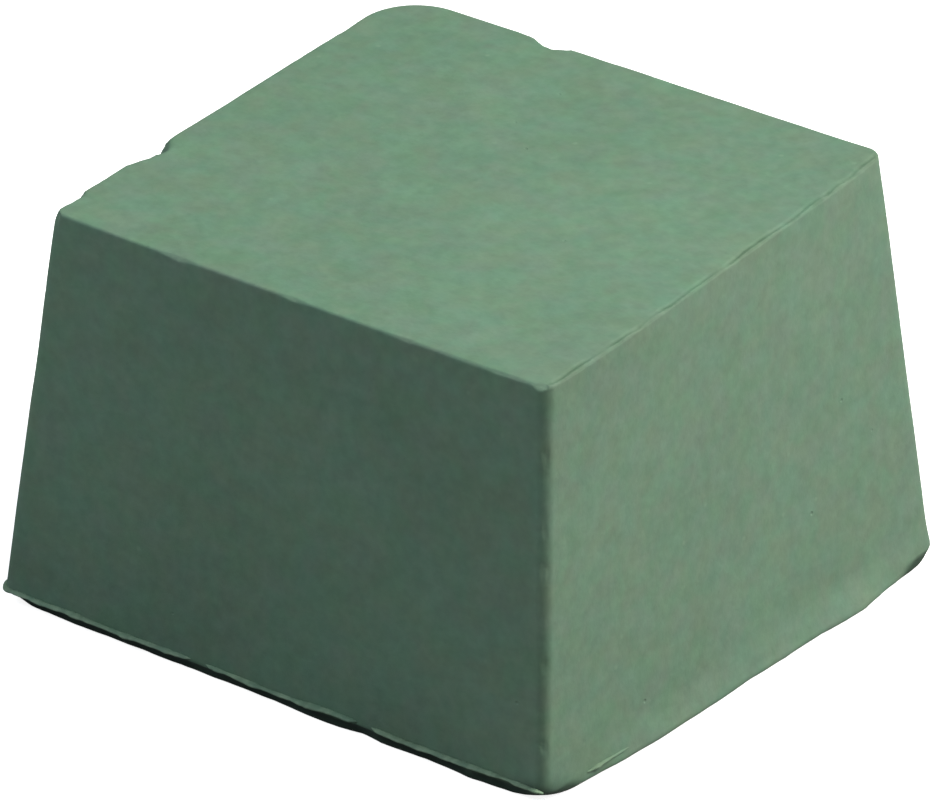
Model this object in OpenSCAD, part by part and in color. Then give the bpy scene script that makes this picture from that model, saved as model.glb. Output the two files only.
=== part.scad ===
// A small hand block of cast polishing compound.
// It stands on its wide base, which was the open, poured side of the mould. Its walls draft
// inwards to the narrow top, and a thin, brittle flash runs round the rim of the base.
// The origin is the middle of the resting face, +Z is up, and X runs along the longer side.

/* [Block] */
// Length of the block along X at the rim of its base, in mm
base_l = 46; // [44:0.5:60]
// Width of the block along Y at the rim of its base, in mm
base_w = 42.5; // [42:0.5:56]
// Length of the narrow top along X, in mm
top_l = 39.5; // [30:0.5:42]
// Width of the narrow top along Y, in mm
top_w = 38.5; // [28:0.5:40]
// Height of the block, in mm
block_h = 30; // [20:0.5:40]

/* [Edges] */
// Radius of the upright edges in plan, in mm
upright_r = 0.8; // [0.8:0.1:3]
// Radius of the worn upright edge at the back left, where it meets the top, in mm
worn_r = 4.2; // [1:0.1:5]
// Radius that rounds off the rim of the top, in mm
top_edge_r = 0.5; // [0.3:0.1:0.8]
// Radius of the corners of the resting face in plan, in mm
foot_r = 2.5; // [1:0.1:4]

/* [Undercut] */
// Height of the undercut, from the resting face up to the flash, in mm
undercut_h = 1; // [0.4:0.1:1.5]
// How far the resting face is set in from the rim all round, in mm
undercut_in = 0.5; // [0.2:0.1:0.8]

/* [Flash] */
// Thickness of the flash, in mm
flash_t = 0.35; // [0.2:0.05:0.8]
// How far the flash stands out from the rim, in mm
flash_reach = 0.3; // [0.2:0.05:0.8]
// Width of each gap where the flash has snapped off, in mm
gap_w = 1.2; // [0.5:0.1:3]
// Middles of the gaps along the front edge, measured along X, in mm
front_gaps = [-6, 8]; // [-18:0.5:18]
// Middles of the gaps along the back edge, measured along X, in mm
back_gaps = [-11, 4]; // [-18:0.5:18]
// Ends of the one length of flash left along the right edge, measured along Y, in mm
right_flash = [-17, -10]; // [-18:0.5:18]
// Middles of the gaps along the left edge, measured along Y, in mm
left_gaps = [-3, 12]; // [-16:0.5:16]

/* [Hidden] */

// Depth of the small upright land round the resting face, in mm
foot_land = 0.1;
// Facets on each rounded corner of the cast shape
$fn = 32;

// The middles of the four corner arcs of a rectangle whose corners have radius r
function corner_spots(l, w, r) =
    [for (sx = [-1, 1], sy = [-1, 1]) [sx * (l / 2 - r), sy * (w / 2 - r)]];

// Four short posts that a hull joins into a rounded plate, from height z up by t
module corner_posts(l, w, r, z, t) {
    for (spot = corner_spots(l, w, r))
        translate([spot.x, spot.y, z])
            cylinder(h = t, r = r);
}

// A disc of radius r whose rim is rounded, centred on its own mid-height
module rounded_disc(r) {
    rotate_extrude()
        translate([r - top_edge_r, 0])
            intersection() {
                circle(top_edge_r);
                translate([0, -top_edge_r])
                    square([top_edge_r, 2 * top_edge_r]);
            }
}

// Rounded discs under the four corners of the top, one of them worn to a larger radius
module top_corners() {
    for (sx = [-1, 1], sy = [-1, 1]) {
        r = sx < 0 && sy > 0 ? worn_r : upright_r;
        translate([sx * (top_l / 2 - r), sy * (top_w / 2 - r), block_h - top_edge_r])
            rounded_disc(r);
    }
}

// The whole cast shape without its flash
module cast_shape() {
    hull() {
        corner_posts(base_l - 2 * undercut_in, base_w - 2 * undercut_in, foot_r, 0, foot_land);
        corner_posts(base_l, base_w, upright_r, undercut_h, flash_t);
        top_corners();
    }
}

// A flat plate with round corners, from height z up by t
module rounded_plate(l, w, r, z, t) {
    translate([0, 0, z])
        linear_extrude(t) {
            square([l - 2 * r, w], center = true);
            square([l, w - 2 * r], center = true);
            for (spot = corner_spots(l, w, r))
                translate(spot)
                    circle(r);
        }
}

// One gap in the flash: a slot that runs outwards from the block's middle line along +Y
module gap_slot(along, half_depth) {
    translate([along - gap_w / 2, 0, 0])
        cube([gap_w, half_depth + 2 * flash_reach, block_h]);
}

// The stretch of the right edge from y_start to y_end, whose flash has broken off
module broken_stretch(y_start, y_end) {
    translate([base_l / 2 - upright_r, y_start, 0])
        cube([upright_r + 2 * flash_reach, max(0.01, y_end - y_start), block_h]);
}

// The body of the block: one solid casting, flat underneath
module block_body() {
    color([0.46, 0.60, 0.49])
        cast_shape();
}

// The brittle fin round the poured rim, left in lengths between the places where it snapped off
module rim_flash() {
    color([0.57, 0.69, 0.58])
        difference() {
            rounded_plate(base_l + 2 * flash_reach, base_w + 2 * flash_reach,
                          upright_r + flash_reach, undercut_h, flash_t);
            cast_shape();
            for (x = front_gaps)
                rotate(180)
                    gap_slot(-x, base_w / 2);
            for (x = back_gaps)
                gap_slot(x, base_w / 2);
            broken_stretch(-base_w / 2, right_flash[0]);
            broken_stretch(right_flash[1], base_w / 2);
            for (y = left_gaps)
                rotate(90)
                    gap_slot(y, base_l / 2);
        }
}

block_body();
rim_flash();
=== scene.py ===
"""Studio scene of a small hand block of cast green polishing compound.

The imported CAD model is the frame: it gives the block's sizes, the height of its rim and the
lengths of its flash. This script casts the visible surfaces round that frame: a body with worn
and chipped edges and an undercut foot, and the ragged flash round the poured rim.
Lengths are in metres, +Z is up, and the front wall faces -Y.
"""

import logging
import math
from dataclasses import dataclass, field
from enum import Enum

import bpy
import numpy as np
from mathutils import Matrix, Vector, noise


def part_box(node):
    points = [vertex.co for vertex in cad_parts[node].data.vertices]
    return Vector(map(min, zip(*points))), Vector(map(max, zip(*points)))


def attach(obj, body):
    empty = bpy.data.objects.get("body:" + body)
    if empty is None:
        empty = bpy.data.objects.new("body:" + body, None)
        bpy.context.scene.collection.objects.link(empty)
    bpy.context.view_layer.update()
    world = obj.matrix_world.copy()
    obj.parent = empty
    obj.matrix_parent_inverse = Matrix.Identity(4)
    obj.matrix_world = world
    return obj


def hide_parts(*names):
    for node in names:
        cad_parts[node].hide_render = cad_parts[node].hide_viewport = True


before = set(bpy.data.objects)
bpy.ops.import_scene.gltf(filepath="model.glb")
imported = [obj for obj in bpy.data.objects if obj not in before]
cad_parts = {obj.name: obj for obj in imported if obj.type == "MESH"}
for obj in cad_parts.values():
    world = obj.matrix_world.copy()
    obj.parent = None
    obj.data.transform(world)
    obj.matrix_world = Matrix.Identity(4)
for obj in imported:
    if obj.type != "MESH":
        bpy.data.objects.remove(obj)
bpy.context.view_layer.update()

MM = 0.001
HALF_DIAGONAL = math.sqrt(0.5)

log = logging.getLogger("compound_block")

Array = np.ndarray
Colour = tuple[float, float, float]


class Wall(Enum):
    """One of the block's four walls, by the direction that it faces in plan."""

    FRONT = (0, -1)
    RIGHT = (1, 0)
    BACK = (0, 1)
    LEFT = (-1, 0)

    @property
    def outward(self) -> Array:
        """The unit vector that the wall faces along, in plan."""
        return np.array(self.value, float)

    @property
    def turn(self) -> Array:
        """The direction in which a walk round the block, seen from above, passes the wall."""
        return np.array([-self.value[1], self.value[0]], float)

    @property
    def across(self) -> int:
        """The index of the axis that the wall faces along."""
        return 0 if self.value[0] else 1

    @property
    def along(self) -> int:
        """The index of the axis that the wall runs along."""
        return 1 - self.across


class Post(Enum):
    """One of the block's four upright edges, by its corner in plan."""

    FRONT_LEFT = (-1, -1)
    FRONT_RIGHT = (1, -1)
    BACK_RIGHT = (1, 1)
    BACK_LEFT = (-1, 1)

    @property
    def outward(self) -> Array:
        """The unit vector that points out of the corner, in plan."""
        return np.array(self.value, float) * HALF_DIAGONAL


def noise_field(points: Array, size: float, octaves: int = 2, seed: float = 0.0) -> Array:
    """Samples smooth noise at many points.

    Args:
        points: The points, one row each, in metres.
        size: How far apart the noise's swellings are, in metres.
        octaves: How many finer layers the noise adds.
        seed: Moves the noise, so that two fields differ.

    Returns:
        One value a point, about -1 to 1.
    """
    shift = Vector((seed * 17.3, seed * -9.1, seed * 4.7))
    return np.array([noise.fractal(Vector(p) / size + shift, 1.0, 2.0, octaves) for p in points])


def cad_points(node: str) -> Array:
    """The points of a CAD node's mesh, one row each."""
    return np.array([vertex.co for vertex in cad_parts[node].data.vertices])


def ease(x: Array) -> Array:
    """Smooths a ramp, so that it starts and ends level, and keeps it within 0 and 1."""
    t = np.clip(x, 0.0, 1.0)
    return t * t * (3.0 - 2.0 * t)


@dataclass(frozen=True)
class Mould:
    """The sizes of the casting, as the CAD solids have them.

    Attributes:
        height: Height of the block.
        foot: Half length and half width of the resting face.
        rim: Half length and half width of the widest section, at the flash.
        top: Half length and half width of the narrow top.
        flash_low: Height of the flash's underside.
        flash_high: Height of the flash's upper side.
        flash_reach: How far the flash stands out from the rim.
    """

    height: float
    foot: Array
    rim: Array
    top: Array
    flash_low: float
    flash_high: float
    flash_reach: float

    @classmethod
    def from_frame(cls, body_node: str, flash_node: str) -> "Mould":
        """Measures the CAD nodes.

        Args:
            body_node: Name of the node of the cast body.
            flash_node: Name of the node of the flash.

        Returns:
            The mould's sizes.
        """
        body_low, body_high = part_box(body_node)
        flash_low, flash_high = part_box(flash_node)
        rim = np.array([body_high.x, body_high.y])
        sliver = 0.05 * MM
        return cls(
            height=body_high.z - body_low.z,
            foot=cls.reach_between(body_node, body_low.z, body_low.z + sliver),
            rim=rim,
            top=cls.reach_between(body_node, body_high.z - MM, body_high.z),
            flash_low=flash_low.z,
            flash_high=flash_high.z,
            flash_reach=flash_high.x - rim[0],
        )

    @staticmethod
    def reach_between(node: str, low: float, high: float) -> Array:
        """Measures how far a CAD node reaches along X and Y between two heights.

        Args:
            node: Name of the CAD node.
            low: The lower height.
            high: The upper height.

        Returns:
            The largest X and Y of the node's points between them.
        """
        points = cad_points(node)
        between = (points[:, 2] >= low) & (points[:, 2] <= high)
        return points[between, :2].max(axis=0)

    def draft(self, z: Array) -> Array:
        """How far up the drafted wall a height is: 0 at the flash and 1 at the top."""
        return np.clip((z - self.flash_high) / (self.height - self.flash_high), 0.0, 1.0)

    def tuck(self, z: Array) -> Array:
        """How far into the undercut a height is: 0 at the flash and 1 at the resting face."""
        return np.clip(1.0 - z / self.flash_low, 0.0, 1.0)

    def half_sizes(self, z: Array) -> Array:
        """Half length and half width of the block at each height, before it is undercut.

        Args:
            z: The heights.

        Returns:
            One row a height: half length, half width.
        """
        return self.rim + (self.top - self.rim) * self.draft(z)[:, None]


@dataclass(frozen=True)
class Lean:
    """How far the corners of a hand-poured block stand from those of a true one.

    Attributes:
        rim: Shift of each corner of the rim along X and Y.
        top: Shift of each corner of the top along X, Y and Z.
    """

    rim: dict[Post, tuple[float, float]] = field(default_factory=lambda: {
        Post.FRONT_LEFT: (0.0, 0.0),
        Post.FRONT_RIGHT: (-0.97 * MM, 0.0),
        Post.BACK_RIGHT: (0.38 * MM, -0.2 * MM),
        Post.BACK_LEFT: (0.0, 0.0),
    })
    top: dict[Post, tuple[float, float, float]] = field(default_factory=lambda: {
        Post.FRONT_LEFT: (-0.03 * MM, 0.0, -0.13 * MM),
        Post.FRONT_RIGHT: (0.85 * MM, 0.08 * MM, -0.08 * MM),
        Post.BACK_RIGHT: (0.12 * MM, 0.0, 0.42 * MM),
        Post.BACK_LEFT: (0.06 * MM, -0.20 * MM, 0.0),
    })

    def applied_to(self, points: Array, mould: Mould) -> Array:
        """Shifts points as their nearest corners are shifted.

        Args:
            points: Points of the true block, one row each.
            mould: The true block's sizes.

        Returns:
            The shifted points.
        """
        plan = np.clip(points[:, :2] / mould.half_sizes(points[:, 2]), -1.0, 1.0)
        up = mould.draft(points[:, 2])[:, None]
        moved = points.copy()
        for post in Post:
            share = np.prod((1.0 + plan * post.value) / 2.0, axis=1)[:, None]
            at_rim = np.array([*self.rim[post], 0.0])
            moved += share * ((1.0 - up) * at_rim + up * np.array(self.top[post]))
        return moved


@dataclass(frozen=True)
class Break:
    """A place where the brittle compound has broken off an edge.

    Attributes:
        edge: The wall whose top edge is broken, or the post.
        start: Where the break starts, measured along the edge.
        end: Where it ends.
        depth: How far the broken face lies behind the sharp edge.
        peak: Where it is deepest, from 0 at its start to 1 at its end.
    """

    edge: Wall | Post
    start: float
    end: float
    depth: float
    peak: float = 0.5

    def depth_at(self, along: Array) -> Array:
        """How deep the break is at each place along its edge.

        Args:
            along: Places along the edge.

        Returns:
            One depth a place, 0 outside the break.
        """
        u = (along - self.start) / (self.end - self.start)
        rise = ease(u / self.peak)
        fall = ease((1.0 - u) / (1.0 - self.peak))
        return self.depth * rise * fall


@dataclass(frozen=True)
class Groove:
    """The fine, broken groove on top of the block beside one of its edges.

    Attributes:
        wall: The wall whose top edge it runs beside.
        rub: The share of the general wear that this edge has.
        inset: How far from the edge it runs.
        half_width: Its half width.
        depth: Its depth.
        drift: Size along the edge, and width, of its wandering.
        gap_size: Size along the edge of the places where it fades out.
        fullness: How full it is on average, and how much that varies.
        fade_at_ends: How steeply it ends at the two corners.
        on_top: How far up a point has to face to be on top, and the width of that ramp.
        on_lip: The same for a point on the lip between the groove and the wall.
        lip_reach: How far back the lip reaches, as a share of the inset.
        lip_wear_lost: The share of its general wear that the lip loses.
        lip_painted_shade: How much painted shade darkens the lip, where the bottom of the groove
            is 1; it holds down the light that the rounded lip catches.
    """

    wall: Wall = Wall.RIGHT
    rub: float = 0.12
    inset: float = 0.27 * MM
    half_width: float = 0.12 * MM
    depth: float = 0.10 * MM
    drift: tuple[float, float] = (1.5 * MM, 0.16 * MM)
    gap_size: float = 2.1 * MM
    fullness: tuple[float, float] = (0.68, 1.2)
    fade_at_ends: float = 20.0
    on_top: tuple[float, float] = (0.3, 0.4)
    on_lip: tuple[float, float] = (0.25, 0.2)
    lip_reach: float = 1.6
    lip_wear_lost: float = 0.9
    lip_painted_shade: float = 0.7


@dataclass
class Surface:
    """Points of a cast surface on their way to becoming a mesh.

    Attributes:
        points: The points, one row each.
        normals: The outward direction at each point.
        wear: How freshly broken or rubbed each point is, 0 to 1.
    """

    points: Array
    normals: Array
    wear: Array

    def push(self, amount: Array) -> None:
        """Moves every point along its normal by its own amount."""
        self.points = self.points + self.normals * amount[:, None]

    def shave(self, over: Array, direction: Array, full_wear: float) -> None:
        """Cuts back what stands over a broken face.

        Args:
            over: How far each point stands over the face; nothing happens below it.
            direction: The broken face's outward direction.
            full_wear: How much has to be cut off for a point to look freshly broken.
        """
        cut = np.clip(over, 0.0, None)
        self.points = self.points - direction * cut[:, None]
        self.wear = np.maximum(self.wear, np.clip(cut / full_wear, 0.0, 1.0))


@dataclass
class BlockBody:
    """The cast body: drafted walls, worn edges, an undercut foot and a slightly sunken underside.

    Attributes:
        mould: The casting's sizes.
        lean: How far its corners stand from a true block's.
        cells: How many mesh cells run along X, Y and Z.
        crowding: How strongly the cells crowd towards the edges, 0 to 1.
        post_radii: Radius in plan of each post, and of its foot below the flash.
        worn_post: The post whose top corner is worn round.
        worn_radius: Radius in plan of that top corner.
        top_roll: Radius that rounds the top edges over.
        foot_roll: Radius that rounds the edge of the resting face, and that along the right
            wall, which is softer.
        foot_roll_blend: How far in from the right wall the softer radius still counts.
        tuck_shape: Height above the bench at which each wall's foot starts to turn in or out,
            and how it does: under 1, most of it at once, and over 1, little by little.
        tuck_depth: How far in from the walls the undercut still moves the underside.
        swell: Size and height of the broad unevenness of the faces.
        ripple: The same for the finer unevenness.
        rub: Size along an edge, depth, and unevenness of its general wear.
        grit: Size of the roughness of a worn or broken face, and its share of the depth.
        full_wear: How much has to be cut off for a point to look freshly broken.
        groove: The groove on top beside one edge.
        wander: Size along the foot, and width, of the undercut's wandering.
        full_undercut_shade: How far a point has to be tucked under to get the full painted shade
            of the undercut.
        sink: Depth of the hollow that shrinkage leaves in the underside.
        sink_border: Width of the flat border round the hollow, and of the slope into it.
        bows: How far the middle of each top edge is drawn in; where it is negative, it bulges.
        bow_powers: How late up a wall its bow grows, and how near the posts it fades out.
        foot_lines: How far the resting face's edge stands in from the rim at places along each
            wall, both in millimetres; where it is negative, the compound crept out.
        breaks: Where the edges are broken.
    """

    mould: Mould
    lean: Lean
    cells: tuple[int, int, int] = (140, 132, 104)
    crowding: float = 0.75
    post_radii: dict[Post, tuple[float, float]] = field(default_factory=lambda: {
        Post.FRONT_LEFT: (0.9 * MM, 2.5 * MM),
        Post.FRONT_RIGHT: (0.8 * MM, 3.4 * MM),
        Post.BACK_RIGHT: (1.1 * MM, 2.5 * MM),
        Post.BACK_LEFT: (0.8 * MM, 2.5 * MM),
    })
    worn_post: Post = Post.BACK_LEFT
    worn_radius: float = 4.3 * MM
    top_roll: float = 0.22 * MM
    foot_roll: tuple[float, float] = (0.25 * MM, 0.5 * MM)
    foot_roll_blend: float = 3 * MM
    tuck_shape: dict[Wall, tuple[float, float]] = field(default_factory=lambda: {
        Wall.FRONT: (1.0 * MM, 0.7),
        Wall.RIGHT: (2.8 * MM, 1.8),
        Wall.BACK: (1.0 * MM, 0.7),
        Wall.LEFT: (1.0 * MM, 0.7),
    })
    tuck_depth: float = 5 * MM
    swell: tuple[float, float] = (14 * MM, 0.07 * MM)
    ripple: tuple[float, float] = (3.5 * MM, 0.02 * MM)
    rub: tuple[float, float, float] = (2.2 * MM, 0.075 * MM, 0.75)
    grit: tuple[float, float] = (0.7 * MM, 0.2)
    full_wear: float = 0.09 * MM
    groove: Groove = Groove()
    wander: tuple[float, float] = (2.6 * MM, 0.07 * MM)
    full_undercut_shade: float = 0.11 * MM
    sink: float = 0.25 * MM
    sink_border: tuple[float, float] = (3.5 * MM, 6 * MM)
    bows: dict[Wall, float] = field(default_factory=lambda: {
        Wall.FRONT: -0.15 * MM,
        Wall.RIGHT: -0.4 * MM,
        Wall.BACK: 0.06 * MM,
        Wall.LEFT: 0.04 * MM,
    })
    bow_powers: tuple[int, int] = (2, 6)
    foot_lines: dict[Wall, tuple[tuple[float, float], ...]] = field(default_factory=lambda: {
        Wall.FRONT: ((-18.4, 0.57), (-14.0, 0.50), (-6.0, 0.55), (0.0, 0.53), (3.0, 0.30),
                     (5.5, 0.28), (7.4, 0.57), (9.2, 0.26), (12.9, 0.42), (16.6, 0.12),
                     (19.5, 0.40)),
        Wall.RIGHT: ((-20.5, 0.20), (-17.0, -0.12), (-13.0, -0.50), (-10.0, -0.61),
                     (-5.0, -0.68), (0.0, -0.56), (5.0, -0.68), (8.0, -0.67), (10.5, -0.89),
                     (12.5, -0.91), (15.3, -0.57), (17.5, -0.36), (19.0, -0.28)),
        Wall.BACK: ((-16.0, 0.55), (-7.0, 0.42), (3.0, 0.60), (13.0, 0.45)),
        Wall.LEFT: ((-17.0, 0.62), (-6.0, 0.50), (5.0, 0.60), (14.0, 0.40)),
    })
    breaks: tuple[Break, ...] = (
        Break(Wall.LEFT, -12.3 * MM, -6.4 * MM, 0.74 * MM, peak=0.74),
        Break(Wall.LEFT, -22.0 * MM, -15.4 * MM, 0.34 * MM, peak=0.85),
        Break(Wall.BACK, -9.3 * MM, -4.9 * MM, 0.60 * MM, peak=0.5),
        Break(Post.FRONT_LEFT, 27.0 * MM, 31.2 * MM, 0.66 * MM, peak=0.8),
        Break(Wall.FRONT, 18.2 * MM, 20.6 * MM, 0.36 * MM, peak=0.7),
        Break(Wall.FRONT, -12.0 * MM, -6.8 * MM, 0.24 * MM, peak=0.5),
        Break(Wall.FRONT, -1.9 * MM, 2.2 * MM, 0.16 * MM, peak=0.4),
        Break(Wall.FRONT, 7.0 * MM, 10.4 * MM, 0.16 * MM, peak=0.6),
        Break(Post.FRONT_RIGHT, 20.6 * MM, 28.6 * MM, 0.38 * MM, peak=0.55),
        Break(Post.FRONT_RIGHT, 17.4 * MM, 22.8 * MM, 0.38 * MM, peak=0.5),
        Break(Post.FRONT_RIGHT, 14.6 * MM, 18.8 * MM, 0.42 * MM, peak=0.6),
        Break(Post.FRONT_RIGHT, 8.6 * MM, 12.4 * MM, 0.40 * MM, peak=0.4),
        Break(Post.FRONT_RIGHT, 2.2 * MM, 6.4 * MM, 0.42 * MM, peak=0.5),
        Break(Post.FRONT_LEFT, 16.5 * MM, 28.0 * MM, 0.40 * MM, peak=0.6),
    )

    def stations(self, count: int) -> Array:
        """Places the grid lines of one axis, from -1 to 1 and closer together at both ends.

        Args:
            count: How many cells the axis has.

        Returns:
            The places of its count + 1 grid lines.
        """
        even = np.linspace(-1.0, 1.0, count + 1)
        return (1.0 - self.crowding) * even + self.crowding * np.sin(even * math.pi / 2)

    def shell(self) -> tuple[Array, list[tuple[int, ...]]]:
        """Lays a grid over the outside of a box.

        Returns:
            The grid position of each point along X, Y and Z, and the cells as rings of points.
        """
        index: dict[tuple[int, ...], int] = {}
        rings = []
        for axis in range(3):
            u, v = (axis + 1) % 3, (axis + 2) % 3
            for level in (0, self.cells[axis]):
                order = ((0, 0), (1, 0), (1, 1), (0, 1))
                if level == 0:
                    order = order[::-1]
                for i in range(self.cells[u]):
                    for j in range(self.cells[v]):
                        ring = []
                        for di, dj in order:
                            key = [0, 0, 0]
                            key[axis], key[u], key[v] = level, i + di, j + dj
                            ring.append(index.setdefault(tuple(key), len(index)))
                        rings.append(tuple(ring))
        return np.array(list(index)), rings

    def radius_near(self, x: Array, y: Array, z: Array) -> Array:
        """Radius in plan of the post nearest to each point.

        Args:
            x: The points' X.
            y: The points' Y.
            z: The points' heights.

        Returns:
            One radius a point.
        """
        radius = np.zeros_like(z)
        for post, (upright, foot) in self.post_radii.items():
            worn = self.worn_radius - upright if post is self.worn_post else 0.0
            here = (x * post.value[0] >= 0) & (y * post.value[1] >= 0)
            drafted = upright + worn * self.mould.draft(z) ** 2
            radius = np.where(here, drafted + (foot - upright) * self.mould.tuck(z), radius)
        return radius

    @staticmethod
    def roll_over(depth: Array, drop: Array, radius: Array) -> tuple[Array, Array, Array, Array]:
        """Rolls the square meeting of a wall and an end face over an arc.

        Args:
            depth: How far each point is behind the wall.
            drop: How far each point is from the end face.
            radius: Radius of the arc at each point.

        Returns:
            The new depths, the new drops, and how far the surface faces along the wall's and
            the end face's outward directions.
        """
        into_wall = np.clip(radius - depth, 0.0, None)
        into_end = np.clip(radius - drop, 0.0, None)
        length = np.maximum(np.hypot(into_wall, into_end), 1e-12)
        on_arc = (into_wall > 0) & (into_end > 0)
        facing_wall = np.where(on_arc, into_wall / length, (depth <= drop).astype(float))
        facing_end = np.where(on_arc, into_end / length, 1.0 - (depth <= drop))
        new_depth = np.where(on_arc, radius - radius * facing_wall, depth)
        new_drop = np.where(on_arc, radius - radius * facing_end, drop)
        return new_depth, new_drop, facing_wall, facing_end

    def form(self, spots: Array) -> Surface:
        """Wraps the grid round the drafted block with its rounded edges.

        Args:
            spots: The grid position of each point along X, Y and Z.

        Returns:
            The surface, still perfectly smooth.
        """
        height = self.mould.height
        a, b, c = (self.stations(n)[spots[:, i]] for i, n in enumerate(self.cells))
        z = (c + 1.0) / 2.0 * height
        half = self.mould.half_sizes(z)
        x, y = np.abs(a) * half[:, 0], np.abs(b) * half[:, 1]
        radius = self.radius_near(a, b, z)

        over_x = np.clip(x - (half[:, 0] - radius), 0.0, None)
        over_y = np.clip(y - (half[:, 1] - radius), 0.0, None)
        in_corner = (over_x > 0) & (over_y > 0)
        length = np.maximum(np.hypot(over_x, over_y), 1e-12)
        reach = np.maximum(over_x, over_y)
        x = np.where(in_corner, half[:, 0] - radius + over_x * reach / length, x)
        y = np.where(in_corner, half[:, 1] - radius + over_y * reach / length, y)
        behind_x, behind_y = half[:, 0] - x, half[:, 1] - y
        facing_x = np.where(in_corner, over_x / length, (behind_x <= behind_y).astype(float))
        facing_y = np.where(in_corner, over_y / length, 1.0 - (behind_x <= behind_y))
        depth = np.where(in_corner, radius - reach, np.minimum(behind_x, behind_y))

        upper = c > 0
        drop = np.where(upper, height - z, z)
        crisp, soft = self.foot_roll
        by_right_wall = ease((x * np.sign(a) - half[:, 0]) / self.foot_roll_blend + 1.0)
        roll = np.where(upper, self.top_roll, crisp + (soft - crisp) * by_right_wall)
        new_depth, new_drop, facing_wall, facing_end = self.roll_over(depth, drop, roll)
        x = x - (new_depth - depth) * facing_x
        y = y - (new_depth - depth) * facing_y
        z = np.where(upper, height - new_drop, new_drop)

        normals = np.column_stack((
            np.sign(a) * facing_x * facing_wall,
            np.sign(b) * facing_y * facing_wall,
            np.where(upper, facing_end, -facing_end),
        ))
        points = np.column_stack((np.sign(a) * x, np.sign(b) * y, z))
        return Surface(points, normals, np.zeros(len(points)))

    def rub_depth(self, along: Array, edge: Wall | Post, seed: float) -> Array:
        """How deep an edge is worn and broken at each place along it.

        Args:
            along: Places along the edge.
            edge: The edge.
            seed: Moves the noise, so that no two edges wear alike.

        Returns:
            One depth a place, measured from where the sharp edge would be.
        """
        size, depth, uneven = self.rub
        line = np.column_stack((along, np.zeros_like(along), np.zeros_like(along)))
        share = self.groove.rub if edge is self.groove.wall else 1.0
        worn = share * depth * (1.0 + uneven * noise_field(line, size, 3, seed))
        for gap in self.breaks:
            if gap.edge is edge:
                worn = np.maximum(worn, gap.depth_at(along))
        return worn

    def break_edges(self, surface: Surface) -> None:
        """Wears and chips the four top edges and the four posts.

        Args:
            surface: The surface, changed in place.
        """
        mould = self.mould
        size, share = self.grit
        rough = 1.0 + noise_field(surface.points, size, 3, seed=9.0) * share
        for number, wall in enumerate(Wall):
            points = surface.points
            outward = np.append(wall.outward, 1.0) * HALF_DIAGONAL
            behind = mould.top[wall.across] - points[:, wall.across] * wall.outward[wall.across]
            below = mould.height - points[:, 2]
            over = self.rub_depth(points[:, wall.along], wall, 20.0 + number) * rough
            surface.shave(over - (behind + below) * HALF_DIAGONAL, outward, self.full_wear)
        for number, post in enumerate(Post):
            points = surface.points
            half = mould.half_sizes(points[:, 2])
            outward = np.append(post.outward, 0.0)
            behind = (half * HALF_DIAGONAL).sum(axis=1) - points[:, :2] @ post.outward
            over = self.rub_depth(points[:, 2], post, 30.0 + number) * rough
            surface.shave(over - behind, outward, self.full_wear)

    def cut_groove(self, surface: Surface) -> Array:
        """Cuts the fine, broken groove on top beside one edge.

        Args:
            surface: The surface, changed in place.

        Returns:
            How much painted shade the groove and the lip beside it give each point, 0 to 1.
        """
        points, groove = surface.points, self.groove
        across, along = groove.wall.across, groove.wall.along
        line = points.copy()
        line[:, across] = 0.0
        behind = self.mould.top[across] - points[:, across] * groove.wall.outward[across]
        drift_size, drift_width = groove.drift
        drift = drift_width * noise_field(line, drift_size, 3, seed=11.0)
        average, varying = groove.fullness
        full = ease(average + varying * noise_field(line, groove.gap_size, 2, seed=12.0))
        inside = np.exp(-(((behind - groove.inset - drift) / groove.half_width) ** 2))
        from_ends = np.clip(1.0 - np.abs(points[:, along]) / self.mould.top[along], 0.0, 1.0)
        between_ends = ease(from_ends * groove.fade_at_ends)
        on_top, on_lip = (ease((surface.normals[:, 2] - start) / width)
                          for start, width in (groove.on_top, groove.on_lip))
        deep = inside * full * on_top * between_ends
        points[:, 2] -= groove.depth * deep
        # Painted shade on the lip, against the light that its rounded edge catches; the lip also
        # loses most of its pale wear.
        lip = ease(groove.lip_reach - behind / groove.inset) * on_lip * between_ends
        surface.wear *= 1.0 - groove.lip_wear_lost * lip
        return np.maximum(deep, groove.lip_painted_shade * lip)

    def tuck_under(self, surface: Surface) -> Array:
        """Undercuts the foot of each wall, more or less as the poured edge wanders.

        Args:
            surface: The surface, changed in place.

        Returns:
            How far under the rim each point now lies, 0 to 1; the material paints shade into the
            undercut by it.
        """
        points = surface.points
        half = self.mould.half_sizes(points[:, 2])
        size, width = self.wander
        wander = width * noise_field(points * (1.0, 1.0, 0.0), size, 3, seed=5.0)
        undercut_shade_mask = np.zeros(len(points))
        for wall in Wall:
            start, shape = self.tuck_shape[wall]
            tuck = np.clip(1.0 - points[:, 2] / start, 0.0, 1.0) ** shape
            line = np.array(self.foot_lines[wall]) * MM
            side = wall.outward[wall.across]
            behind = half[:, wall.across] - points[:, wall.across] * side
            inset = np.interp(points[:, wall.along], line[:, 0], line[:, 1]) + wander
            near = ease(1.0 - behind / self.tuck_depth)
            moved = inset * near * tuck
            points[:, wall.across] -= side * moved
            # Painted shade mask: how far each point is tucked under the flash.
            undercut_shade_mask = np.maximum(undercut_shade_mask, ease(moved / self.full_undercut_shade))
        return undercut_shade_mask

    def bow_in(self, surface: Surface) -> None:
        """Draws the upper middle of each wall in a little, or lets it bulge.

        Args:
            surface: The surface, changed in place.
        """
        points = surface.points
        half = self.mould.half_sizes(points[:, 2])
        late, near_posts = self.bow_powers
        up = self.mould.draft(points[:, 2]) ** late
        for wall, bow in self.bows.items():
            to_post = np.clip(np.abs(points[:, wall.along]) / half[:, wall.along], 0.0, 1.0)
            middle = 1.0 - to_post ** near_posts
            side = wall.outward[wall.across]
            near = ease(points[:, wall.across] * side / half[:, wall.across])
            points[:, wall.across] -= side * bow * up * middle * near

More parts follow.
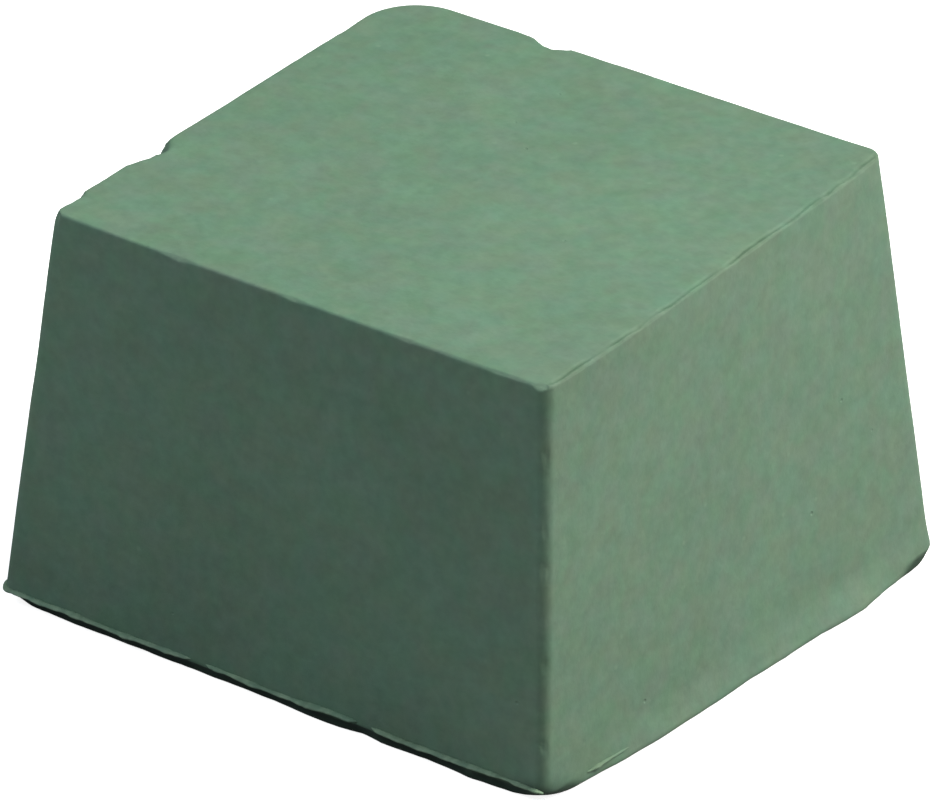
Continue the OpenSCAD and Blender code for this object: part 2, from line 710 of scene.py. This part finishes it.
    def settle_underside(self, surface: Surface) -> None:
        """Hollows the underside a little and keeps all of the block above the bench.

        Args:
            surface: The surface, changed in place.
        """
        points = surface.points
        border, slope = self.sink_border
        inset = np.min(self.mould.foot - np.abs(points[:, :2]), axis=1)
        hollow = self.sink * ease((inset - border) / slope)
        is_under = (points[:, 2] < 0.5 * self.mould.flash_low) & (surface.normals[:, 2] < -0.9)
        points[:, 2] += np.where(is_under, hollow, 0.0)
        points[:, 2] = np.clip(points[:, 2], 0.0, None)

    def build(self) -> bpy.types.Object:
        """Builds the body's mesh.

        Returns:
            The object, with the attributes wear, crease and undercut_shade_mask on its points;
            the last two carry painted shade.
        """
        spots, rings = self.shell()
        surface = self.form(spots)
        for (size, height), seed in ((self.swell, 1.0), (self.ripple, 2.0)):
            surface.push(height * noise_field(surface.points, size, 2, seed))
        self.break_edges(surface)
        crease = self.cut_groove(surface)
        undercut_shade_mask = self.tuck_under(surface)
        self.bow_in(surface)
        self.settle_underside(surface)
        leaning = self.lean.applied_to(surface.points, self.mould)
        body = mesh_object("compound_body", leaning, rings)
        add_attribute(body, "wear", surface.wear)
        add_attribute(body, "crease", crease)
        add_attribute(body, "undercut_shade_mask", undercut_shade_mask)
        return body


@dataclass(frozen=True)
class RimWalk:
    """A walk round the rim, measured along its sharp rectangle from the left end of its front.

    Attributes:
        half: Half length and half width of the rim.
        radii: Radius of each of its corners.
    """

    half: Array
    radii: tuple[float, ...]

    @property
    def total(self) -> float:
        """Length of the whole walk."""
        return 4.0 * float(self.half.sum())

    def walk_to(self, point: Array) -> float:
        """How far the walk is to the place beside a point.

        Args:
            point: The point, in plan.

        Returns:
            The distance walked.
        """
        walls = list(Wall)
        overhangs = [float(point @ wall.outward) - self.half[wall.across] for wall in walls]
        number = int(np.argmax(overhangs))
        before = sum(2.0 * self.half[wall.along] for wall in walls[:number])
        half = self.half[walls[number].along]
        return before + half + float(np.clip(point @ walls[number].turn, -half, half))

    def at(self, walked: float) -> tuple[Array, Array]:
        """The place that a walk reaches.

        Args:
            walked: The distance walked.

        Returns:
            The place and the outward direction there, in plan.
        """
        left = walked % self.total
        for number, wall in enumerate(Wall):
            if left <= 2.0 * self.half[wall.along]:
                break
            left -= 2.0 * self.half[wall.along]
        half = self.half[wall.along]
        along = left - half
        side = 1.0 if along > 0 else -1.0
        radius = self.radii[(number + 1) % 4] if along > 0 else self.radii[number]
        into_corner = max(0.0, (abs(along) - (half - radius)) / radius)
        angle = side * into_corner * math.pi / 4
        outward = wall.outward * math.cos(angle) + wall.turn * math.sin(angle)
        if into_corner == 0.0:
            return wall.outward * self.half[wall.across] + wall.turn * along, outward
        middle = wall.outward * (self.half[wall.across] - radius)
        return middle + wall.turn * side * (half - radius) + outward * radius, outward


@dataclass
class RimFlash:
    """The brittle fin round the poured rim, in lengths between the places where it snapped off.

    Attributes:
        mould: The casting's sizes.
        lean: How far its corners stand from a true block's.
        rim: The line that the fin grows from.
        node: Name of the CAD node that says where the lengths end.
        step: Distance between cross-sections.
        root: How far the fin's root is buried in the wall.
        fade: How far from its end a length starts to thin out.
        strength: How full the fin is along each wall.
        pale_crust_and_highlight: How pale it is along each wall: partly a powdery crust, partly a
            painted highlight on the walls away from the key light, none on the lit right wall.
        droop: How far it hangs down along the right wall.
        ragged: Size of its ragged edge, and the share of the reach that it takes or adds.
        thickness: Its thickness beside the CAD's, and how much the raggedness changes that.
        drift: Size and height of its rise and fall round the rim.
        end_thickness: The share of its thickness that is left at its ends.
        root_heights: Where its root starts above and ends below, in thicknesses.
        tip: Its outline between them: places outwards in reaches, and up in thicknesses.
    """

    mould: Mould
    lean: Lean
    rim: RimWalk
    node: str
    step: float = 0.10 * MM
    root: float = 0.12 * MM
    fade: float = 0.9 * MM
    strength: dict[Wall, float] = field(default_factory=lambda: {
        Wall.FRONT: 1.0,
        Wall.RIGHT: 0.95,
        Wall.BACK: 0.85,
        Wall.LEFT: 0.55,
    })
    pale_crust_and_highlight: dict[Wall, float] = field(default_factory=lambda: {
        Wall.FRONT: 0.75,
        Wall.RIGHT: 0.0,
        Wall.BACK: 0.6,
        Wall.LEFT: 0.9,
    })
    droop: float = 0.35 * MM
    ragged: tuple[float, float] = (1.6 * MM, 0.55)
    thickness: tuple[float, float] = (0.72, 0.35)
    drift: tuple[float, float] = (5 * MM, 0.12 * MM)
    end_thickness: float = 0.45
    root_heights: tuple[float, float] = (0.62, -0.55)
    tip: tuple[tuple[float, float], ...] = (
        (0.25, 0.5), (0.7, 0.36), (0.95, 0.16), (1.0, -0.05),
        (0.9, -0.24), (0.6, -0.4), (0.2, -0.48),
    )

    def cad_lengths(self) -> list[Array]:
        """Sorts the CAD flash's points into its separate lengths.

        Returns:
            The points of each length, one row a point.
        """
        points, weld = np.unique(cad_points(self.node).round(6), axis=0, return_inverse=True)
        edges = np.array([edge.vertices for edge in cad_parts[self.node].data.edges])
        links = weld.ravel()[edges]
        group = np.arange(len(points))
        while True:
            lower = group.copy()
            np.minimum.at(lower, links[:, 0], group[links[:, 1]])
            np.minimum.at(lower, links[:, 1], lower[links[:, 0]])
            if np.array_equal(lower, group):
                return [points[group == number] for number in np.unique(group)]
            group = lower

    def lengths(self) -> list[tuple[float, float]]:
        """The stretches of the walk round the rim that still have their flash.

        Returns:
            Where each stretch starts and ends, in walking order.
        """
        stretches = []
        for points in self.cad_lengths():
            walked = sorted(self.rim.walk_to(point[:2]) for point in points)
            gaps = np.diff([*walked, walked[0] + self.rim.total])
            last = int(np.argmax(gaps))
            start = walked[(last + 1) % len(walked)]
            end = walked[last]
            stretches.append((start, end if end > start else end + self.rim.total))
        return sorted(stretches)

    @staticmethod
    def blend(values: dict[Wall, float], outward: Array) -> float:
        """A value of the walls where the rim faces a direction, blended round the corners."""
        return sum(values[w] * max(0.0, float(outward @ w.outward)) ** 2 for w in Wall)

    def section(self, walked: float, to_end: float) -> list[Array]:
        """One cross-section of the fin.

        Args:
            walked: Where along the rim it is.
            to_end: Distance to the nearer end of this length of flash.

        Returns:
            The ring of points, from the upper root out round the tip and back under.
        """
        place, outward = self.rim.at(walked)
        spot = Vector((place[0], place[1], 0.0))
        ragged_size, ragged_share = self.ragged
        ragged = noise.fractal(spot / ragged_size, 1.0, 2.0, 3)
        drift_size, drift_height = self.drift
        drift = noise.fractal(spot / drift_size + Vector((7.0, 3.0, 0.0)), 1.0, 2.0, 2)
        thinning = math.sin(min(1.0, to_end / self.fade) * math.pi / 2)
        full = self.blend(self.strength, outward) * thinning
        reach = self.mould.flash_reach * full * (1.0 + ragged_share * ragged)
        even, varying = self.thickness
        thick = (self.mould.flash_high - self.mould.flash_low) * (even + varying * ragged)
        thick *= self.end_thickness + (1.0 - self.end_thickness) * thinning
        hang = self.droop * max(0.0, float(outward @ Wall.RIGHT.outward)) ** 2
        middle = (self.mould.flash_high + self.mould.flash_low) / 2 + drift_height * drift - hang
        above, below = self.root_heights
        outline = [(-self.root, above), *((out * reach, up) for out, up in self.tip),
                   (-self.root, below)]
        ring = []
        for away, up in outline:
            flat = place + outward * away
            ring.append(np.array([flat[0], flat[1], middle + up * thick]))
        return ring

    def build(self) -> bpy.types.Object:
        """Builds the flash's mesh, one closed strip for each length.

        Returns:
            The object, with the attributes wear, crease and sheltered on its points.
        """
        points: list[Array] = []
        wear: list[float] = []
        rings: list[tuple[int, ...]] = []
        for start, end in self.lengths():
            count = round((end - start) / self.step)
            walk = np.linspace(start, end, count + 1)
            first = len(points)
            for walked in walk:
                ring = self.section(walked, min(walked - start, end - walked))
                points.extend(ring)
                # The flash's wear attribute holds its pale crust and a painted highlight on the
                # walls away from the key light.
                wear.extend([self.blend(self.pale_crust_and_highlight, self.rim.at(walked)[1])] * len(ring))
            size = (len(points) - first) // len(walk)
            for i in range(count):
                for j in range(size):
                    a, b = first + i * size, first + (i + 1) * size
                    k = (j + 1) % size
                    rings.append((a + j, b + j, b + k, a + k))
            rings.append(tuple(first + j for j in range(size)))
            rings.append(tuple(first + count * size + j for j in reversed(range(size))))
        leaning = self.lean.applied_to(np.array(points), self.mould)
        flash = mesh_object("compound_flash", leaning, rings)
        add_attribute(flash, "wear", np.array(wear))
        add_attribute(flash, "crease", np.zeros(len(points)))
        add_attribute(flash, "undercut_shade_mask", np.zeros(len(points)))
        return flash


def mesh_object(name: str, points: Array, rings: list[tuple[int, ...]]) -> bpy.types.Object:
    """Makes a smooth-shaded mesh object.

    Args:
        name: The object's name.
        points: Its points, one row each.
        rings: Its faces, each a ring of point numbers.

    Returns:
        The object, linked into the scene.
    """
    mesh = bpy.data.meshes.new(name)
    mesh.from_pydata(points.tolist(), [], rings)
    mesh.validate()
    mesh.shade_smooth()
    made = bpy.data.objects.new(name, mesh)
    bpy.context.scene.collection.objects.link(made)
    return made


def add_attribute(target: bpy.types.Object, name: str, values: Array) -> None:
    """Stores one number a point on a mesh, for its material to read.

    Args:
        target: The mesh object.
        name: The attribute's name.
        values: One value a point.
    """
    attribute = target.data.attributes.new(name, "FLOAT", "POINT")
    attribute.data.foreach_set("value", values.astype(np.float32))


class Recipe:
    """Builds one node material, a node at a time."""

    def __init__(self, name: str) -> None:
        """Starts a material.

        Args:
            name: The material's name.
        """
        self.material = bpy.data.materials.new(name)
        self.material.use_nodes = True
        self.tree = self.material.node_tree
        self.shader = self.tree.nodes["Principled BSDF"]
        self.place = self.tree.nodes.new("ShaderNodeTexCoord").outputs["Object"]

    def feed(self, socket: bpy.types.NodeSocket, value: object) -> None:
        """Links an output to a socket, or sets the socket to a plain value.

        Args:
            socket: The input socket.
            value: An output socket, a number or a colour.
        """
        if isinstance(value, bpy.types.NodeSocket):
            self.tree.links.new(value, socket)
        elif isinstance(value, tuple):
            socket.default_value = (*value, 1.0)
        else:
            socket.default_value = value

    def noise(self, size: float, detail: float = 2.0, warp: float = 0.0) -> bpy.types.NodeSocket:
        """Cloudy noise.

        Args:
            size: Size of its clouds, in metres.
            detail: How many finer layers it has.
            warp: How much it is distorted.

        Returns:
            The output, 0 to 1 and about 0.5 on average.
        """
        node = self.tree.nodes.new("ShaderNodeTexNoise")
        self.feed(node.inputs["Vector"], self.place)
        self.feed(node.inputs["Scale"], 1.0 / size)
        self.feed(node.inputs["Detail"], detail)
        self.feed(node.inputs["Distortion"], warp)
        return node.outputs["Fac"]

    def dots(self, spacing: float, radius: float, share: float) -> bpy.types.NodeSocket:
        """Scattered round dots.

        Args:
            spacing: Distance between the places where a dot may be, in metres.
            radius: Radius of the dots, in metres.
            share: The share of those places that have a dot.

        Returns:
            The output, 1 in the middle of a dot and 0 away from it.
        """
        node = self.tree.nodes.new("ShaderNodeTexVoronoi")
        self.feed(node.inputs["Vector"], self.place)
        self.feed(node.inputs["Scale"], 1.0 / spacing)
        core = 0.4 * radius
        near = self.span(node.outputs["Distance"], radius / spacing, core / spacing)
        parts = self.tree.nodes.new("ShaderNodeSeparateColor")
        self.feed(parts.inputs["Color"], node.outputs["Color"])
        chosen = self.span(parts.outputs["Red"], share, share - 0.02)
        return self.calculate("MULTIPLY", near, chosen)

    def attribute(self, name: str) -> bpy.types.NodeSocket:
        """Reads a number that is stored on the mesh.

        Args:
            name: The attribute's name.

        Returns:
            The number at each point.
        """
        node = self.tree.nodes.new("ShaderNodeAttribute")
        node.attribute_name = name
        return node.outputs["Fac"]

    def span(self, value: object, low: float, high: float,
             to_low: float = 0.0, to_high: float = 1.0) -> bpy.types.NodeSocket:
        """Stretches a range of values over another, and holds it at the ends.

        Args:
            value: What to stretch.
            low: The value that becomes to_low.
            high: The value that becomes to_high.
            to_low: What low becomes.
            to_high: What high becomes.

        Returns:
            The stretched value.
        """
        node = self.tree.nodes.new("ShaderNodeMapRange")
        pairs = (("Value", value), ("From Min", low), ("From Max", high),
                 ("To Min", to_low), ("To Max", to_high))
        for socket, given in pairs:
            self.feed(node.inputs[socket], given)
        return node.outputs["Result"]

    def calculate(self, operation: str, first: object, second: object) -> bpy.types.NodeSocket:
        """Works out one operation on two numbers.

        Args:
            operation: Blender's name for the operation.
            first: The first number.
            second: The second number.

        Returns:
            The result.
        """
        node = self.tree.nodes.new("ShaderNodeMath")
        node.operation = operation
        self.feed(node.inputs[0], first)
        self.feed(node.inputs[1], second)
        return node.outputs[0]

    def mix(self, share: object, first: object, second: object,
            how: str = "MIX") -> bpy.types.NodeSocket:
        """Mixes two colours.

        Args:
            share: How much of the second colour to use, 0 to 1.
            first: The first colour.
            second: The second colour.
            how: Blender's name for the way of mixing.

        Returns:
            The mixed colour.
        """
        node = self.tree.nodes.new("ShaderNodeMix")
        node.data_type = "RGBA"
        node.blend_type = how
        inputs = [s for s in node.inputs if s.type == "RGBA"]
        factor = next(s for s in node.inputs if s.type == "VALUE")
        for socket, given in ((factor, share), (inputs[0], first), (inputs[1], second)):
            self.feed(socket, given)
        return next(s for s in node.outputs if s.type == "RGBA")

    def colour(self, red: object, green: object, blue: object) -> bpy.types.NodeSocket:
        """Makes a colour of three numbers that vary over the surface.

        Args:
            red: How red it is.
            green: How green it is.
            blue: How blue it is.

        Returns:
            The colour.
        """
        node = self.tree.nodes.new("ShaderNodeCombineColor")
        for socket, value in zip(node.inputs, (red, green, blue)):
            self.feed(socket, value)
        return node.outputs["Color"]

    def bump(self, height: object, depth: float,
             below: bpy.types.NodeSocket | None = None) -> bpy.types.NodeSocket:
        """Turns a height into relief.

        Args:
            height: The height, 0 to 1.
            depth: How deep the relief is, in metres.
            below: Relief that this one is laid over.

        Returns:
            The bumped normal.
        """
        node = self.tree.nodes.new("ShaderNodeBump")
        self.feed(node.inputs["Distance"], depth)
        self.feed(node.inputs["Height"], height)
        if below is not None:
            self.feed(node.inputs["Normal"], below)
        return node.outputs["Normal"]


@dataclass(frozen=True)
class CompoundFinish:
    """Matt, slightly waxy chromium oxide compound.

    Attributes:
        name: Name of the material.
        cool: Colour of its greener clouds.
        warm: Colour of its greyer clouds.
        powder: Colour of freshly rubbed or broken compound; on the flash it is also a pale crust
            and partly a painted highlight.
        shadow: Painted shade that darkens the groove and its lip along the right top edge.
        painted_undercut_shade: Painted shade that darkens the undercut of the foot under the
            flash.
        cloud_size: Size of the greener and greyer clouds.
        haze: Size and depth of the broadest lighter and darker patches.
        mottling: The same for each layer of finer patches.
        bluish: The same for the patches that hold more or less blue.
        specks: Spacing, radius and share of the powdery specks.
        speck_strength: How powdery the specks are.
        pits: Spacing, radius and share of the burst bubbles.
        pit_depth: Their depth.
        skin: Size and depth of the unevenness of the cast skin.
        grain: The same for its fine grain.
        roughness: Lowest and highest roughness.
        sheen_level: Strength of the waxy highlight.
    """

    name: str
    cool: Colour = (0.117, 0.213, 0.144)
    warm: Colour = (0.131, 0.204, 0.145)
    powder: Colour = (0.165, 0.262, 0.182)
    shadow: Colour = (0.62, 0.68, 0.62)
    painted_undercut_shade: Colour = (0.24, 0.27, 0.27)
    cloud_size: float = 2.4 * MM
    haze: tuple[float, float] = (12 * MM, 0.04)
    mottling: tuple[tuple[float, float], ...] = (
        (1.6 * MM, 0.038), (0.8 * MM, 0.045), (0.35 * MM, 0.018),
    )
    bluish: tuple[float, float] = (2.7 * MM, 0.038)
    specks: tuple[float, float, float] = (2.4 * MM, 0.22 * MM, 0.28)
    speck_strength: float = 0.5
    pits: tuple[float, float, float] = (3.1 * MM, 0.16 * MM, 0.3)
    pit_depth: float = 0.05 * MM
    skin: tuple[float, float] = (1.6 * MM, 0.05 * MM)
    grain: tuple[float, float] = (0.28 * MM, 0.012 * MM)
    roughness: tuple[float, float] = (0.58, 0.74)
    sheen_level: float = 0.35

    def colour(self, recipe: Recipe) -> bpy.types.NodeSocket:
        """Builds the colour: clouds, grain, specks, worn edges (on the flash partly a painted
        highlight), and painted shade in the crease and the undercut.

        Args:
            recipe: The material being built.

        Returns:
            The colour.
        """
        clouds = recipe.span(recipe.noise(self.cloud_size, 3.0, 0.4), 0.36, 0.64)
        clouded = recipe.mix(clouds, self.cool, self.warm)
        size, depth = self.haze
        shade = recipe.span(recipe.noise(size, 2.0), 0.3, 0.7, 1.0 - depth, 1.0 + depth)
        for size, depth in self.mottling:
            layer = recipe.span(recipe.noise(size, 2.0), 0.3, 0.7, 1.0 - depth, 1.0 + depth)
            shade = recipe.calculate("MULTIPLY", shade, layer)
        size, depth = self.bluish
        blue = recipe.span(recipe.noise(size, 3.0, 0.2), 0.36, 0.64, 1.0 - depth, 1.0 + depth)
        bluer = recipe.calculate("MULTIPLY", shade, blue)
        mottled = recipe.mix(1.0, clouded, recipe.colour(shade, shade, bluer), "MULTIPLY")
        specks = recipe.calculate("MULTIPLY", recipe.dots(*self.specks), self.speck_strength)
        flecked = recipe.mix(specks, mottled, self.powder)
        # Worn edges turn powder coloured; on the flash the wear attribute also paints a highlight
        # on the walls away from the key light.
        patchy = recipe.span(recipe.noise(0.9 * MM, 3.0), 0.38, 0.62, 0.1, 0.8)
        rubbed = recipe.calculate("MULTIPLY", recipe.attribute("wear"), patchy)
        worn = recipe.mix(rubbed, flecked, self.powder)
        # Painted shade along the groove and lip of the right top edge, in broken patches.
        broken = recipe.span(recipe.noise(1.5 * MM, 2.0), 0.38, 0.6, 0.35, 1.0)
        creased = recipe.calculate("MULTIPLY", recipe.attribute("crease"), broken)
        lined = recipe.mix(creased, worn, recipe.mix(1.0, worn, self.shadow, "MULTIPLY"))
        # Painted shade: the undercut under the flash is darkened nearly to black.
        undercut_shaded = recipe.mix(1.0, lined, self.painted_undercut_shade, "MULTIPLY")
        return recipe.mix(recipe.attribute("undercut_shade_mask"), lined, undercut_shaded)

    def relief(self, recipe: Recipe) -> bpy.types.NodeSocket:
        """Builds the relief: a cast skin, fine grain and a few burst bubbles.

        Args:
            recipe: The material being built.

        Returns:
            The bumped normal.
        """
        size, depth = self.skin
        skin = recipe.bump(recipe.noise(size, 3.0), depth)
        size, depth = self.grain
        grain = recipe.bump(recipe.noise(size, 3.0), depth, skin)
        unpitted = recipe.calculate("SUBTRACT", 1.0, recipe.dots(*self.pits))
        return recipe.bump(unpitted, self.pit_depth, grain)

    def make(self) -> bpy.types.Material:
        """Builds the material.

        Returns:
            The material.
        """
        recipe = Recipe(self.name)
        shader = recipe.shader
        recipe.feed(shader.inputs["Base Color"], self.colour(recipe))
        uneven = recipe.span(recipe.noise(2.2 * MM, 3.0), 0.3, 0.7, *self.roughness)
        recipe.feed(shader.inputs["Roughness"], uneven)
        recipe.feed(shader.inputs["Normal"], self.relief(recipe))
        shader.inputs["Specular IOR Level"].default_value = self.sheen_level
        return recipe.material


@dataclass(frozen=True)
class PaperFinish:
    """Pale matt studio paper, overexposed to white and with little of its light on the block.

    Attributes:
        name: Name of the material.
        seen: Its lighter and duller colours as the camera sees it.
        bounced: Its colour for the light that it throws back.
        glow: How much light it adds to what the camera sees.
        cloud_size: Size of its lighter and duller patches.
    """

    name: str = "studio_paper"
    seen: tuple[Colour, Colour] = ((0.80, 0.80, 0.80), (0.77, 0.77, 0.77))
    bounced: Colour = (0.30, 0.30, 0.30)
    glow: float = 0.88
    cloud_size: float = 40 * MM

    def make(self) -> bpy.types.Material:
        """Builds the material.

        Returns:
            The material.
        """
        recipe = Recipe(self.name)
        tree, sheet = recipe.tree, recipe.shader
        clouds = recipe.mix(recipe.noise(self.cloud_size, 3.0), *self.seen)
        recipe.feed(sheet.inputs["Base Color"], clouds)
        recipe.feed(sheet.inputs["Emission Color"], (1.0, 1.0, 1.0))
        recipe.feed(sheet.inputs["Emission Strength"], self.glow)
        recipe.feed(sheet.inputs["Roughness"], 0.95)
        recipe.feed(sheet.inputs["Specular IOR Level"], 0.0)
        bounce = tree.nodes.new("ShaderNodeBsdfDiffuse")
        recipe.feed(bounce.inputs["Color"], self.bounced)
        either = tree.nodes.new("ShaderNodeMixShader")
        path = tree.nodes.new("ShaderNodeLightPath")
        recipe.feed(either.inputs[0], path.outputs["Is Camera Ray"])
        recipe.feed(either.inputs[1], bounce.outputs[0])
        recipe.feed(either.inputs[2], sheet.outputs[0])
        recipe.feed(tree.nodes["Material Output"].inputs["Surface"], either.outputs[0])
        return recipe.material


@dataclass(frozen=True)
class Softbox:
    """A square soft light that faces the block.

    Attributes:
        name: Name of the light.
        stand: Where it stands.
        side: Length of its sides.
        power: Its power in watts.
        colour: Its colour.
    """

    name: str
    stand: tuple[float, float, float]
    side: float
    power: float
    colour: Colour

    def place(self, aim: Vector) -> None:
        """Puts the light into the scene.

        Args:
            aim: The point that it faces.
        """
        data = bpy.data.lights.new(self.name, "AREA")
        data.shape = "SQUARE"
        data.size = self.side
        data.energy = self.power
        data.color = self.colour
        made = bpy.data.objects.new(self.name, data)
        made.location = self.stand
        made.rotation_mode = "QUATERNION"
        made.rotation_quaternion = (Vector(self.stand) - aim).to_track_quat("Z", "Y")
        made.visible_camera = False
        bpy.context.scene.collection.objects.link(made)


@dataclass
class Studio:
    """The camera, the pale floor and the plain soft light.

    Attributes:
        aim: Height of the point that the camera and the lights face.
        azimuth: How far the camera is turned round the block from its front, in degrees.
        elevation: How far the camera looks down, in degrees.
        distance: Distance from the camera to that point.
        lens: Focal length, in millimetres.
        sensor: Width of the sensor, in millimetres.
        clip: Nearest and furthest distance that the camera sees.
        floor_size: Length of the floor's sides.
        room: Brightness of the room for the light that it gives.
        lights: The softboxes.
    """

    aim: float = 13.6 * MM
    azimuth: float = 36.7
    elevation: float = 29.25
    distance: float = 0.9
    lens: float = 521.5
    sensor: float = 36.0
    clip: tuple[float, float] = (0.01, 20.0)
    floor_size: float = 6.0
    room: float = 0.07
    lights: tuple[Softbox, ...] = (
        Softbox("key_light", (0.232, 0.150, 0.378), 0.20, 2.44, (0.955, 0.990, 0.862)),
        Softbox("side_light", (0.173, 0.100, 0.108), 0.10, 0.222, (1.0, 0.85, 0.92)),
        Softbox("fill_light", (-0.150, -0.250, 0.360), 0.20, 0.88, (0.90, 1.0, 1.10)),
    )

    def set_camera(self) -> None:
        """Makes the scene's camera."""
        a, e = math.radians(self.azimuth), math.radians(self.elevation)
        back = Vector((math.sin(a) * math.cos(e), -math.cos(a) * math.cos(e), math.sin(e)))
        data = bpy.data.cameras.new("camera")
        data.lens = self.lens
        data.sensor_width = self.sensor
        data.clip_start, data.clip_end = self.clip
        camera = bpy.data.objects.new("camera", data)
        camera.location = Vector((0.0, 0.0, self.aim)) + back * self.distance
        camera.rotation_mode = "QUATERNION"
        camera.rotation_quaternion = (-back).to_track_quat("-Z", "Y")
        bpy.context.scene.collection.objects.link(camera)
        bpy.context.scene.camera = camera

    def lay_floor(self) -> None:
        """Lays the pale floor that the block stands on."""
        reach = self.floor_size / 2
        corners = np.array([(-reach, -reach, 0), (reach, -reach, 0),
                            (reach, reach, 0), (-reach, reach, 0)], float)
        floor = mesh_object("studio_floor", corners, [(0, 1, 2, 3)])
        floor.data.materials.append(PaperFinish().make())

    def light(self) -> None:
        """Lights the room evenly, shows it as white, and adds the softboxes."""
        world = bpy.data.worlds.new("studio_room")
        world.use_nodes = True
        tree = world.node_tree
        lit = tree.nodes["Background"]
        lit.inputs["Color"].default_value = (1.0, 1.0, 1.0, 1.0)
        lit.inputs["Strength"].default_value = self.room
        seen = tree.nodes.new("ShaderNodeBackground")
        seen.inputs["Color"].default_value = (1.0, 1.0, 1.0, 1.0)
        either = tree.nodes.new("ShaderNodeMixShader")
        path = tree.nodes.new("ShaderNodeLightPath")
        tree.links.new(path.outputs["Is Camera Ray"], either.inputs[0])
        tree.links.new(lit.outputs[0], either.inputs[1])
        tree.links.new(seen.outputs[0], either.inputs[2])
        tree.links.new(either.outputs[0], tree.nodes["World Output"].inputs["Surface"])
        bpy.context.scene.world = world
        for softbox in self.lights:
            softbox.place(Vector((0.0, 0.0, self.aim)))
        bpy.context.scene.view_settings.view_transform = "Standard"


def hand_in(piece: bpy.types.Object, node: str, finish: CompoundFinish) -> None:
    """Dresses a piece and puts it in the place of its CAD node.

    Args:
        piece: The visible piece.
        node: The CAD node that it stands for.
        finish: Its finish.
    """
    piece.data.materials.append(finish.make())
    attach(piece, "root")
    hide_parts(node)
    low, high = (np.array(corner) / MM for corner in (piece.bound_box[0], piece.bound_box[6]))
    log.info("%s: %d faces, %s to %s mm", piece.name, len(piece.data.polygons),
             low.round(2), high.round(2))


def main() -> None:
    """Sets up the studio, casts the block, dresses its pieces and puts them in place of their CAD
    nodes.
    """
    logging.basicConfig(level=logging.INFO, format="%(name)s: %(message)s")
    studio = Studio()
    studio.set_camera()
    studio.lay_floor()
    studio.light()
    mould = Mould.from_frame("block_body", "rim_flash")
    log.info("mould: %s", mould)
    lean = Lean()
    body = BlockBody(mould, lean)
    hand_in(body.build(), "block_body", CompoundFinish("compound"))
    rim = RimWalk(mould.rim, tuple(body.post_radii[post][0] for post in Post))
    flash = RimFlash(mould, lean, rim, "rim_flash")
    for start, end in flash.lengths():
        log.info("length of flash from %.1f to %.1f mm", start / MM, end / MM)
    # The flash's lighter powder colour: a pale crust and partly a painted highlight.
    pale = CompoundFinish("compound_flash", cool=(0.12, 0.215, 0.145), warm=(0.135, 0.21, 0.14),
                          powder=(0.28, 0.39, 0.26))
    hand_in(flash.build(), "rim_flash", pale)


if __name__ == "__main__":
    main()
